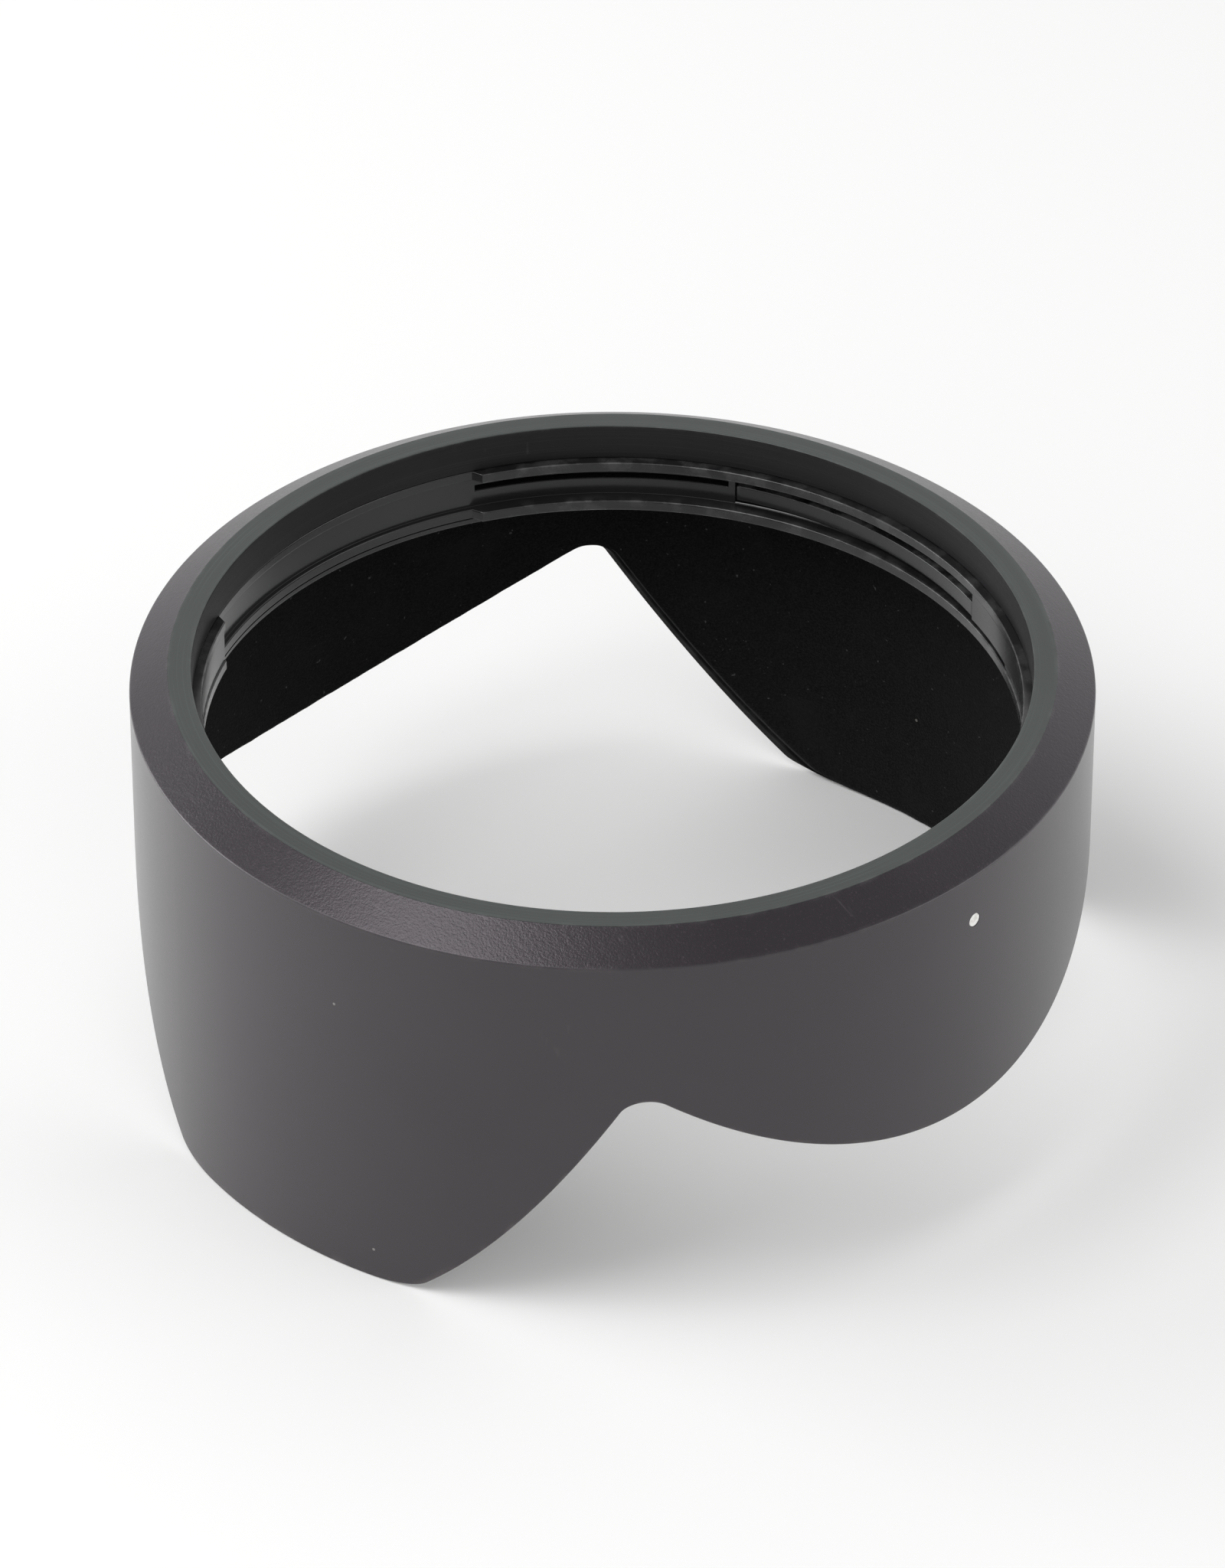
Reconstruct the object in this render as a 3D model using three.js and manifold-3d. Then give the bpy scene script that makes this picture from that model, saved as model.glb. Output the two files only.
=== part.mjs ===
// Bayonet lens hood with four petals, two long and two short, standing on its long petals.
// Millimetres, +Z up. The origin is on the hood's own axis, level with the long petals' tips,
// so the rear rim, which meets the lens, is the top. The long petals lie along Y, and the
// short ones along X, with the index dot on the +X one.
import * as THREE from "three";
import { mergeVertices } from "three/addons/utils/BufferGeometryUtils.js";
import Module from "manifold-3d";

// Shell: one turned and milled aluminium tube. The lens sets the bore, and the rim is as wide
// as the bayonet ring below it needs.
const HEIGHT = 43.9;
const BORE_R = 41;
const RIM_WIDTH = 6.1;
const WALL = 0.92;
const RIM_FACE_WIDTH = 2.32;
const CHAMFER_DROP = 2.28;
const RIM_THICKNESS = 3.8;

// Petal outline, milled straight across the tube along X.
const SHORT_PETAL_DEPTH = 29.85;
const LONG_TIP_HALF_ANGLE = 19.1;
const FLANK_ANGLE = 66.6;
const NOTCH_R = 2.05;
const TIP_CORNER_R = 2.1;

// Bayonet ring: a flanged ring that seats under the rim.
const RING_HEIGHT = 6.4;
const RING_SEAT_GAP = 0.04;
const LUG_REACH = 0.95;
const FLANGE_THICKNESS = 1.05;
const WEB_RECESS = 0.5;
const WEB_THICKNESS = 1.1;
const LIP_THICKNESS = 1.15;
const LIP_ABOVE_RING_FOOT = 0.65;
const ENTRY_HALF_ANGLE = 25.6;
const RING_TURN = -1;

// Click strips: one in a window of each lug's web. Its rooted end is flush with the web, and its
// free end bows into the channel, next to a stop block that fills the rest of the channel.
const STRIP_FROM_LUG_MIDDLE = 4;
const STRIP_HALF_ANGLE = 22.5;
const STRIP_BOW = 1.1;
const STRIP_LAND = 1;
const STRIP_THICKNESS = 0.8;
const SLOT_WIDTH = 0.4;
const STRIP_END_GAP = 0.15;
const STOP_SETBACK = 0.15;
const STOP_SLIT_ANGLE = 12;
const STOP_SLIT_FLOOR = 0.1;

// Relief slot: thins the web from the strip's root, past a bridge, to the open end of the channel.
const RELIEF_HEIGHT = 0.78;
const BRIDGE_ANGLE = 0.9;
const RELIEF_END_ANGLE = 0.6;

// Ring screws, driven up through the flange into the rim.
const SCREW_COUNT = 4;
const SCREW_FIRST_ANGLE = 45;
const SCREW_R = 0.8;
const SCREW_TIP_COVER = 1.45;
const SCREW_HEAD_R = 1.4;
const SCREW_HEAD_HEIGHT = 0.8;
const SCREW_SLOT_WIDTH = 0.35;
const SCREW_SLOT_DEPTH = 0.35;
const SCREW_HEAD_GAP = 0.02;
const SCREW_HOLE_GAP = 0.06;
const SCREW_HOLE_TIP_GAP = 0.3;

// Flock lining: a strip of black velour, its ends butted behind the index dot.
const LINING_THICKNESS = 0.3;
const LINING_GAP = 0.03;
const LINING_TOP_GAP = 0.2;
const LINING_EDGE_SETBACK = 0.15;
const LINING_SEAM = 0.25;

// Index dot: white paint filled into a shallow round recess.
const DOT_R = 0.75;
const DOT_DEPTH = 0.25;
const DOT_BELOW_RIM = 7.6;
const DOT_GAP = 0.03;

// Flats round a full circle on the turned surfaces, on screws and dot, and round a petal's arc.
const FLATS = 120;
const BAR_FLATS = 24;
const ARC_STEPS = 20;
// How far a cutting tool runs past what it cuts, and an added block sinks into what it joins.
const CUT_MARGIN = 2;
const JOIN_DEPTH = 0.4;
// The two halves of the ring, each with one entry gap and one lug, by their turn in degrees.
const HALF_TURN = 180;
const RING_SIDES = [0, HALF_TURN];

const OUTER_R = BORE_R + RIM_WIDTH;
const INNER_R = OUTER_R - WALL;
const RIM_FACE_R = BORE_R + RIM_FACE_WIDTH;
const SEAT_Z = HEIGHT - RIM_THICKNESS;
const LUG_R = BORE_R - LUG_REACH;
const WEB_R = BORE_R + WEB_RECESS;
const RING_TOP_Z = SEAT_Z - RING_SEAT_GAP;
const RING_FOOT_Z = RING_TOP_Z - RING_HEIGHT;
const FLANGE_FOOT_Z = RING_TOP_Z - FLANGE_THICKNESS;
const LIP_FOOT_Z = RING_FOOT_Z + LIP_ABOVE_RING_FOOT;
const LIP_TOP_Z = LIP_FOOT_Z + LIP_THICKNESS;
const STRIP_FOOT_Z = LIP_TOP_Z + SLOT_WIDTH;
const WINDOW_TOP_Z = FLANGE_FOOT_Z - STRIP_LAND;
const STRIP_TOP_Z = WINDOW_TOP_Z - SLOT_WIDTH;
const WEB_BACK_R = WEB_R + WEB_THICKNESS;
const FLANGE_R = INNER_R - RING_SEAT_GAP;
const LINING_OUTER_R = INNER_R - LINING_GAP;
const LINING_INNER_R = LINING_OUTER_R - LINING_THICKNESS;
const SCREW_CIRCLE_R = (WEB_BACK_R + LINING_INNER_R) / 2;
const SCREW_TIP_Z = HEIGHT - SCREW_TIP_COVER;

const wasm = await Module();
wasm.setup();

const radians = THREE.MathUtils.degToRad;

// A closed three.js geometry as a manifold-3d solid.
function solid(geometry) {
  const bare = geometry.clone();
  bare.deleteAttribute("normal");
  bare.deleteAttribute("uv");
  const merged = mergeVertices(bare, 1e-4);
  return new wasm.Manifold(
    new wasm.Mesh({
      numProp: 3,
      vertProperties: merged.attributes.position.array,
      triVerts: new Uint32Array(merged.index.array),
    }),
  );
}

// The part's mesh for a manifold-3d solid.
function mesh(name, body, material) {
  const made = body.getMesh();
  const geometry = new THREE.BufferGeometry();
  geometry.setAttribute("position", new THREE.BufferAttribute(made.vertProperties, 3));
  geometry.setIndex(new THREE.BufferAttribute(made.triVerts, 1));
  geometry.computeVertexNormals();
  const result = new THREE.Mesh(geometry, material);
  result.name = name;
  return result;
}

// A ring turned about Z from a closed outline of [radius, height] corners, listed anticlockwise.
function turned(corners, flats = FLATS) {
  const outline = [...corners, corners[0]].map(([r, z]) => new THREE.Vector2(r, z));
  return solid(new THREE.LatheGeometry(outline, flats).rotateX(Math.PI / 2));
}

// A piece of a ring between two radii, two angles in degrees and two heights.
function ringSector(r0, r1, a0, a1, z0, z1) {
  const shape = new THREE.Shape();
  shape.absarc(0, 0, r1, radians(a0), radians(a1), false);
  shape.absarc(0, 0, r0, radians(a1), radians(a0), true);
  const steps = Math.ceil(((a1 - a0) / 360) * FLATS);
  const options = { depth: z1 - z0, bevelEnabled: false, curveSegments: steps };
  return solid(new THREE.ExtrudeGeometry(shape, options).translate(0, 0, z0));
}

// A round bar along Z.
function bar(r, z0, z1, x = 0, y = 0) {
  const geometry = new THREE.CylinderGeometry(r, r, z1 - z0, BAR_FLATS).rotateX(Math.PI / 2);
  return solid(geometry.translate(x, y, (z0 + z1) / 2));
}

// The gap that is milled away below the petal outline, seen along X. Its edge follows each long
// petal's rounded tip corner and straight flank, the notch's round top, and the short petal's
// arc, which has the tube's own outer radius.
// grow moves the whole edge into the metal, which sets the lining back from it.
function petalGap(grow = 0) {
  const arcZ = HEIGHT - SHORT_PETAL_DEPTH + OUTER_R;
  const notchR = NOTCH_R + grow;
  const cornerR = TIP_CORNER_R - grow;
  const flank = radians(FLANK_ANGLE);
  const normal = new THREE.Vector2(Math.sin(flank), Math.cos(flank));
  const foot = new THREE.Vector2(OUTER_R * Math.cos(radians(LONG_TIP_HALF_ANGLE)), 0);
  // Notch centre: NOTCH_R inside the flank line, and touching the short petal's arc from outside.
  const along = new THREE.Vector2(-Math.cos(flank), Math.sin(flank));
  const start = foot.clone().addScaledVector(normal, -NOTCH_R);
  const fromArc = start.clone().sub(new THREE.Vector2(0, arcZ));
  const b = fromArc.dot(along);
  const c = fromArc.lengthSq() - (OUTER_R + NOTCH_R) ** 2;
  const notch = start.clone().addScaledVector(along, -b - Math.sqrt(b * b - c));
  // Tip corner centre: TIP_CORNER_R above the tips and behind the flank line.
  const cornerY = foot.x + (TIP_CORNER_R * (1 - normal.y)) / normal.x;
  const lean = Math.PI / 2 - flank;
  const meet = Math.atan2(arcZ - notch.y, notch.x);
  const shape = new THREE.Shape();
  shape.moveTo(-cornerY, -CUT_MARGIN);
  shape.absarc(-cornerY, TIP_CORNER_R, cornerR, -Math.PI / 2, -lean, false);
  shape.absarc(-notch.x, notch.y, notchR, Math.PI - lean, meet, true);
  shape.absarc(0, arcZ, OUTER_R - grow, Math.PI + meet, 2 * Math.PI - meet, false);
  shape.absarc(notch.x, notch.y, notchR, Math.PI - meet, lean, true);
  shape.absarc(cornerY, TIP_CORNER_R, cornerR, Math.PI + lean, 1.5 * Math.PI, false);
  shape.lineTo(cornerY, -CUT_MARGIN);
  const width = 2 * (OUTER_R + CUT_MARGIN);
  const options = { depth: width, bevelEnabled: false, curveSegments: ARC_STEPS };
  // The shape's x runs along Y and its y along Z, and it is carried along X.
  const geometry = new THREE.ExtrudeGeometry(shape, options).translate(0, 0, -width / 2);
  return solid(geometry.rotateX(Math.PI / 2).rotateZ(Math.PI / 2));
}

function screwPlaces() {
  const places = [];
  for (let i = 0; i < SCREW_COUNT; i += 1) {
    const angle = radians(SCREW_FIRST_ANGLE + (360 / SCREW_COUNT) * i);
    places.push([SCREW_CIRCLE_R * Math.cos(angle), SCREW_CIRCLE_R * Math.sin(angle)]);
  }
  return places;
}

function hoodShell() {
  let body = turned([
    [INNER_R, 0],
    [OUTER_R, 0],
    [OUTER_R, HEIGHT - CHAMFER_DROP],
    [RIM_FACE_R, HEIGHT],
    [BORE_R, HEIGHT],
    [BORE_R, SEAT_Z],
    [INNER_R, SEAT_Z],
  ]);
  body = body.subtract(petalGap());
  body = body.subtract(dotBar(DOT_R, OUTER_R - DOT_DEPTH, OUTER_R + CUT_MARGIN));
  const holeTop = SCREW_TIP_Z + SCREW_HOLE_TIP_GAP;
  for (const [x, y] of screwPlaces()) {
    body = body.subtract(bar(SCREW_R + SCREW_HOLE_GAP, SEAT_Z - CUT_MARGIN, holeTop, x, y));
  }
  return body;
}

// The middle of a lug lies a quarter turn on from the middle of its half's entry gap.
function lugMiddle(side) {
  return side + RING_TURN + HALF_TURN / 2;
}

function bayonetRing() {
  let body = turned([
    [LUG_R, FLANGE_FOOT_Z],
    [WEB_R, FLANGE_FOOT_Z],
    [WEB_R, LIP_TOP_Z],
    [LUG_R, LIP_TOP_Z],
    [LUG_R, LIP_FOOT_Z],
    [BORE_R, LIP_FOOT_Z],
    [BORE_R, RING_FOOT_Z],
    [WEB_BACK_R, RING_FOOT_Z],
    [WEB_BACK_R, FLANGE_FOOT_Z],
    [FLANGE_R, FLANGE_FOOT_Z],
    [FLANGE_R, RING_TOP_Z],
    [LUG_R, RING_TOP_Z],
  ]);
  for (const side of RING_SIDES) {
    // Stop block in the channel, from the lug's end to the strip's free end, with a slit below it.
    const entry = side + RING_TURN;
    const lugStart = entry + ENTRY_HALF_ANGLE;
    const [windowStart, windowEnd] = stripAngles(side, STRIP_END_GAP);
    const stop = ringSector(LUG_R + STOP_SETBACK, WEB_R + JOIN_DEPTH, lugStart, windowStart,
      LIP_TOP_Z - JOIN_DEPTH, FLANGE_FOOT_Z + JOIN_DEPTH);
    const slit = ringSector(LUG_R - CUT_MARGIN, WEB_R - STOP_SLIT_FLOOR,
      windowStart - STOP_SLIT_ANGLE, windowStart + STOP_SLIT_ANGLE, LIP_TOP_Z, STRIP_FOOT_Z);
    body = body.add(stop).subtract(slit);
    // Entry gap: the flange and the lip are cut back to the bore, so the lens's lugs drop in.
    const gap = ringSector(LUG_R - CUT_MARGIN, BORE_R, entry - ENTRY_HALF_ANGLE, lugStart,
      RING_FOOT_Z - CUT_MARGIN, RING_TOP_Z + CUT_MARGIN);
    // Window in the web for the click strip, and the relief slot past its root.
    const window = ringSector(WEB_R - CUT_MARGIN, WEB_BACK_R + CUT_MARGIN, windowStart, windowEnd,
      LIP_TOP_Z, WINDOW_TOP_Z);
    const nextEntry = entry + HALF_TURN - ENTRY_HALF_ANGLE;
    const relief = ringSector(WEB_R - CUT_MARGIN, WEB_BACK_R + CUT_MARGIN,
      windowEnd + BRIDGE_ANGLE, nextEntry - RELIEF_END_ANGLE,
      WINDOW_TOP_Z - RELIEF_HEIGHT, WINDOW_TOP_Z);
    body = body.subtract(gap).subtract(window).subtract(relief);
  }
  for (const [x, y] of screwPlaces()) {
    const holeFoot = FLANGE_FOOT_Z - CUT_MARGIN;
    const holeTop = RING_TOP_Z + CUT_MARGIN;
    body = body.subtract(bar(SCREW_R + SCREW_HOLE_GAP, holeFoot, holeTop, x, y));
  }
  return body;
}

// The two end angles of a click strip, or of its window, which is wider by a gap at each end.
function stripAngles(side, gap = 0) {
  const middle = lugMiddle(side) + STRIP_FROM_LUG_MIDDLE;
  const half = STRIP_HALF_ANGLE + THREE.MathUtils.radToDeg(gap / WEB_R);
  return [middle - half, middle + half];
}

// A strip is an arc whose centre is moved towards its root, so its face lies flush with the web
// there and has come in by the bow at the free end.
function clickStrip(side) {
  const [free, root] = stripAngles(side);
  const frontR = WEB_R - STRIP_BOW / 2;
  const shift = STRIP_BOW / (2 * Math.sin(radians(STRIP_HALF_ANGLE)));
  const towardsRoot = radians((free + root) / 2 + HALF_TURN / 2);
  const arc = ringSector(frontR, frontR + STRIP_THICKNESS, free - STRIP_HALF_ANGLE,
    root + STRIP_HALF_ANGLE, STRIP_FOOT_Z, STRIP_TOP_Z);
  const moved = arc.translate(shift * Math.cos(towardsRoot), shift * Math.sin(towardsRoot), 0);
  const ends = ringSector(BORE_R - CUT_MARGIN, OUTER_R, free, root,
    STRIP_FOOT_Z - CUT_MARGIN, STRIP_TOP_Z + CUT_MARGIN);
  return moved.intersect(ends);
}

// A cheese-head screw with a driver slot, standing on its head below the flange.
function ringScrew([x, y]) {
  const headTop = FLANGE_FOOT_Z - SCREW_HEAD_GAP;
  const headFoot = headTop - SCREW_HEAD_HEIGHT;
  const head = bar(SCREW_HEAD_R, headFoot, headTop, x, y);
  const shank = bar(SCREW_R, (headFoot + headTop) / 2, SCREW_TIP_Z, x, y);
  const length = 2 * (SCREW_HEAD_R + CUT_MARGIN);
  const slot = new THREE.BoxGeometry(length, SCREW_SLOT_WIDTH, 2 * SCREW_SLOT_DEPTH);
  return head.add(shank).subtract(solid(slot.translate(x, y, headFoot)));
}

function flockLining() {
  const top = FLANGE_FOOT_Z - LINING_TOP_GAP;
  const seam = new THREE.BoxGeometry(OUTER_R, LINING_SEAM, 2 * HEIGHT);
  return turned([
    [LINING_INNER_R, LINING_EDGE_SETBACK],
    [LINING_OUTER_R, LINING_EDGE_SETBACK],
    [LINING_OUTER_R, top],
    [LINING_INNER_R, top],
  ])
    .subtract(petalGap(LINING_EDGE_SETBACK))
    .subtract(solid(seam.translate(OUTER_R / 2 + BORE_R / 2, 0, HEIGHT)));
}

// A round bar along X through the place of the index dot, trimmed to two radii of the hood.
function dotBar(r, r0, r1) {
  const geometry = new THREE.CylinderGeometry(r, r, OUTER_R, BAR_FLATS).rotateZ(Math.PI / 2);
  const z = HEIGHT - DOT_BELOW_RIM;
  const across = solid(geometry.translate(OUTER_R, 0, z));
  return across.intersect(turned([
    [r0, z - 2 * r],
    [r1, z - 2 * r],
    [r1, z + 2 * r],
    [r0, z + 2 * r],
  ]));
}

const anodised = new THREE.MeshStandardMaterial({ color: 0x2a2829, roughness: 0.42, metalness: 0.6 });
const ringBlack = new THREE.MeshStandardMaterial({ color: 0x1c1b1c, roughness: 0.35, metalness: 0.5 });
const blackSteel = new THREE.MeshStandardMaterial({ color: 0x202022, roughness: 0.3, metalness: 0.8 });
const flock = new THREE.MeshStandardMaterial({ color: 0x060607, roughness: 1, metalness: 0 });
const whitePaint = new THREE.MeshStandardMaterial({ color: 0xe8e8e4, roughness: 0.5, metalness: 0 });

const group = new THREE.Group();
group.add(mesh("hood_shell", hoodShell(), anodised));
group.add(mesh("bayonet_ring", bayonetRing(), ringBlack));
group.add(mesh("click_strip_far", clickStrip(0), ringBlack));
group.add(mesh("click_strip_near", clickStrip(180), ringBlack));
screwPlaces().forEach((place, i) => {
  group.add(mesh(`ring_screw_${i + 1}`, ringScrew(place), blackSteel));
});
group.add(mesh("flock_lining", flockLining(), flock));
const dotFace = dotBar(DOT_R - DOT_GAP, OUTER_R - DOT_DEPTH + DOT_GAP, OUTER_R);
group.add(mesh("index_dot", dotFace, whitePaint));

export default group;
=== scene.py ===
import math

import bpy
import numpy as np
from mathutils import Matrix, Vector


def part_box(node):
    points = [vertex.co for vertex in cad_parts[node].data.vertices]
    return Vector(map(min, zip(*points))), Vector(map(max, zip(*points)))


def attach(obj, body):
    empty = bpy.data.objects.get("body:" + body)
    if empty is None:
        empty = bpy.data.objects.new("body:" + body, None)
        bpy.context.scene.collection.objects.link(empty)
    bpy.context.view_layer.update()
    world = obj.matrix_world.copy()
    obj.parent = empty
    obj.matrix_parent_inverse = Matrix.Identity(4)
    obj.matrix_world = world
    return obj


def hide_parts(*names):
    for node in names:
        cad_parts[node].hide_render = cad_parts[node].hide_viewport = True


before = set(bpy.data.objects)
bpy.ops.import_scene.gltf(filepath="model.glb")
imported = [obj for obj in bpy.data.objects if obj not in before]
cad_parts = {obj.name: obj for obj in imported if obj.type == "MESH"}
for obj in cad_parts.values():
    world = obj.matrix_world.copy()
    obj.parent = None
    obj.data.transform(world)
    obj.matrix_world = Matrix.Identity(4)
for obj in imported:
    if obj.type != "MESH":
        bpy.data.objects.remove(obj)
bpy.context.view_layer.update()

MM = 0.001


# --- Camera ---------------------------------------------------------------------------------
# A long lens on a stand looks down into the hood from one side, at the height from which the
# rear rim, the bayonet ring and the inside of the far petal all show.
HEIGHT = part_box("hood_shell")[1][2] / MM
OUTER_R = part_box("hood_shell")[1][1] / MM
CAMERA_DISTANCE = 866.6
CAMERA_ELEVATION = math.radians(35.12)
CAMERA_AZIMUTH = math.radians(43.1)
CAMERA_LENS = 204.3
CAMERA_SENSOR = 36
AIM_BELOW_RIM = 12.12


def stand_camera():
    """Stands at a distance, azimuth and elevation from the rim's middle, and looks at a point
    that lies straight below that middle in the view."""
    flat = math.cos(CAMERA_ELEVATION)
    away = Vector((math.sin(CAMERA_AZIMUTH) * flat, -math.cos(CAMERA_AZIMUTH) * flat,
                   math.sin(CAMERA_ELEVATION)))
    side = Vector((0, 0, 1)).cross(away).normalized()
    up = away.cross(side)
    middle = Vector((0, 0, HEIGHT))
    place = middle + away * CAMERA_DISTANCE
    back = (place - (middle - up * AIM_BELOW_RIM)).normalized()
    up = back.cross(side)
    turn = Matrix((side, up, back)).transposed()
    camera = bpy.data.objects.new("camera", bpy.data.cameras.new("camera"))
    camera.matrix_world = Matrix.Translation(place * MM) @ turn.to_4x4()
    camera.data.lens = CAMERA_LENS
    camera.data.sensor_width = CAMERA_SENSOR
    camera.data.clip_start = 10 * MM
    camera.data.dof.use_dof = False
    bpy.context.scene.collection.objects.link(camera)
    bpy.context.scene.camera = camera


stand_camera()


# --- Floor ----------------------------------------------------------------------------------
# One sheet of smooth off-white card, larger than the view, under the petal tips.
FLOOR_SIZE = 6000
FLOOR_BELOW_TIPS = 0.02
CARD_WHITE = (0.865, 0.865, 0.862, 1)
CARD_ROUGHNESS = 0.9
CARD_SPECULAR = 0.2


def new_material(name):
    """An empty node material, with its nodes, links and output node."""
    material = bpy.data.materials.new(name)
    material.use_nodes = True
    nodes = material.node_tree.nodes
    nodes.clear()
    return material, nodes, material.node_tree.links, nodes.new("ShaderNodeOutputMaterial")


def surface_mesh(name, points, faces, smooth=True):
    """A mesh object from points in millimetres and one array of faces with four corners each."""
    mesh = bpy.data.meshes.new(name)
    mesh.vertices.add(len(points))
    mesh.vertices.foreach_set("co", (np.asarray(points) * MM).astype(np.float32).ravel())
    mesh.loops.add(faces.size)
    mesh.loops.foreach_set("vertex_index", faces.astype(np.int32).ravel())
    mesh.polygons.add(len(faces))
    mesh.polygons.foreach_set("loop_start", np.arange(0, faces.size, faces.shape[1], dtype=np.int32))
    mesh.update(calc_edges=True)
    mesh.validate()
    mesh.polygons.foreach_set("use_smooth", np.full(len(mesh.polygons), smooth))
    made = bpy.data.objects.new(name, mesh)
    bpy.context.scene.collection.objects.link(made)
    return made


def lay_floor():
    """A flat square grid with one face."""
    half = FLOOR_SIZE / 2
    corners = np.array([(-half, -half), (half, -half), (half, half), (-half, half)])
    points = np.column_stack([corners, np.full(4, -FLOOR_BELOW_TIPS)])
    floor = surface_mesh("floor", points, np.array([[0, 1, 2, 3]]))
    material, nodes, links, output = new_material("white_card")
    card = nodes.new("ShaderNodeBsdfPrincipled")
    card.inputs["Base Color"].default_value = CARD_WHITE
    card.inputs["Roughness"].default_value = CARD_ROUGHNESS
    card.inputs["Specular IOR Level"].default_value = CARD_SPECULAR
    links.new(card.outputs["BSDF"], output.inputs["Surface"])
    floor.data.materials.append(material)


lay_floor()


# --- Light ----------------------------------------------------------------------------------
# A white light tent, dimmer overhead than at its sides, a soft box high on the near left as main
# light, and two weak ones low at the sides.
TENT_SIDES = 0.99
TENT_TOP = 0.52
TENT_FALL = (0.35, 0.95)
MAIN_BOX = {"azimuth": 253, "elevation": 58, "away": 900, "size": 520, "watts": 3.3}
LOW_BOX = {"azimuth": 212, "elevation": 14, "away": 800, "size": 500, "watts": 3.2}
SIDE_BOX = {"azimuth": 30, "elevation": 12, "away": 900, "size": 500, "watts": 1.4}


def hang_light(name, azimuth, elevation, away, size, watts):
    """A square area light at a bearing and height from the hood's middle, facing it."""
    bearing, height = math.radians(azimuth), math.radians(elevation)
    towards = Vector((math.cos(bearing) * math.cos(height), math.sin(bearing) * math.cos(height),
                      math.sin(height)))
    light = bpy.data.lights.new(name, "AREA")
    light.shape = "SQUARE"
    light.size = size * MM
    light.energy = watts
    lamp = bpy.data.objects.new(name, light)
    lamp.matrix_world = (Matrix.Translation((towards * away + Vector((0, 0, HEIGHT / 2))) * MM)
                         @ towards.to_track_quat("Z", "Y").to_matrix().to_4x4())
    bpy.context.scene.collection.objects.link(lamp)


def light_tent():
    """A white world whose brightness falls in a smooth step from the sides to the top, between
    two heights on a ball of radius 1."""
    world = bpy.data.worlds.new("light_tent")
    world.use_nodes = True
    nodes, links = world.node_tree.nodes, world.node_tree.links
    background = nodes["Background"]
    background.inputs["Color"].default_value = (1, 1, 1, 1)
    height = nodes.new("ShaderNodeSeparateXYZ")
    links.new(nodes.new("ShaderNodeTexCoord").outputs["Generated"], height.inputs[0])
    fall = nodes.new("ShaderNodeMapRange")
    fall.interpolation_type = "SMOOTHSTEP"
    links.new(height.outputs[2], fall.inputs["Value"])
    fall.inputs["From Min"].default_value = TENT_FALL[0]
    fall.inputs["From Max"].default_value = TENT_FALL[1]
    fall.inputs["To Min"].default_value = TENT_SIDES
    fall.inputs["To Max"].default_value = TENT_TOP
    links.new(fall.outputs["Result"], background.inputs["Strength"])
    bpy.context.scene.world = world


light_tent()
hang_light("main_box", **MAIN_BOX)
hang_light("low_box", **LOW_BOX)
hang_light("side_box", **SIDE_BOX)
bpy.context.scene.view_settings.view_transform = "Standard"


# --- Hood shell -----------------------------------------------------------------------------
# One aluminium tube, turned to a thin wall with a chamfered rim, then milled straight across
# to leave two long and two short petals, bead blasted, and anodised black.
INNER_R = OUTER_R - 0.92
BORE_R = OUTER_R - 6.1
RIM_FACE_R = BORE_R + 2.32
CHAMFER_FOOT_Z = HEIGHT - 2.28
SEAT_Z = HEIGHT - 3.8
SHORT_PETAL_DEPTH = 29.85
LONG_TIP_HALF_ANGLE = math.radians(19.1)
FLANK_ANGLE = math.radians(66.6)
NOTCH_R = 2.05
TIP_CORNER_R = 2.1
TIP_CORNER_END = math.radians(84)
EDGE_BREAK = 0.12
EDGE_STEPS = 5
CORNER_RADII = (.22, .16, .14, .12, .15)
HOLD = 0.05
DOT_Z = HEIGHT - 7.6
DOT_RECESS_R = 0.75
DOT_DEPTH = 0.25
DOT_LIP = (0.05, 0.06)
DOT_STEPS = np.array([.15, .3, .45, .6, .7, .73, .75, .77, .8, 1, 1.3, 1.8])
DOT_REACH = 2.4
DOT_FADE = 1.5
DOT_COLUMNS_END = 2.5
DOT_MARGIN = 2.9
LEVEL_Z = DOT_Z - 3.3
WALL_SHARES = np.array([.02, .06, .12, .2, .32, .46, .6, .74, .88])
WEAR_REACH = 0.22
RIM_WEAR = 0.15
MILLED_WEAR = 0.3


def arc_points(middle, radius, start, end, count):
    """Points on a circle between two angles, and the unit vectors from its middle to them."""
    angle = np.linspace(start, end, count)
    out = np.column_stack([np.cos(angle), np.sin(angle)])
    return middle + radius * out, out


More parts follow.
